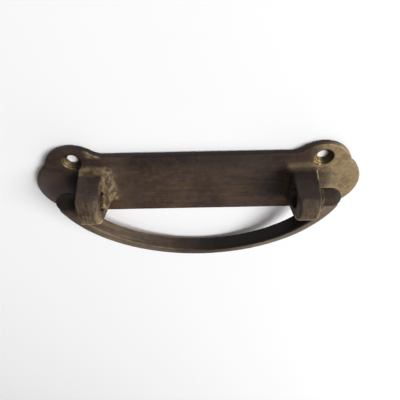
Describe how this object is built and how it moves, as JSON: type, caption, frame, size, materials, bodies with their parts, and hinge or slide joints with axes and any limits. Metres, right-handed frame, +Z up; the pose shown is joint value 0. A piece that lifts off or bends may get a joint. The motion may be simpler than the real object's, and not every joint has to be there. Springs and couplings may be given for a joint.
{
  "type": "drop pull",
  "caption": "Antique cast brass drop pull: a lobed backplate with bored lugs and a crescent bail that swings on its own pins, in dark worn patina.",
  "frame": {"origin": "midway between the centres of the two screw holes, on the backplate's back face", "axes": "+X to the right seen from the front, +Y into the drawer front, +Z up"},
  "size_m": [0.1168, 0.0206, 0.0579],
  "materials": {
    "patinated_brass": "satin"
  },
  "bodies": {
    "plate": {"backplate": "patinated_brass"},
    "bail": {"bail": "patinated_brass"}
  },
  "joints": [
    {"name": "bail_swing", "type": "hinge", "parent": "plate", "child": "bail", "pos_m": [0, -0.0126, -0.0087], "axis": [-1, 0, 0], "range_deg": [0, 206]}
  ]
}
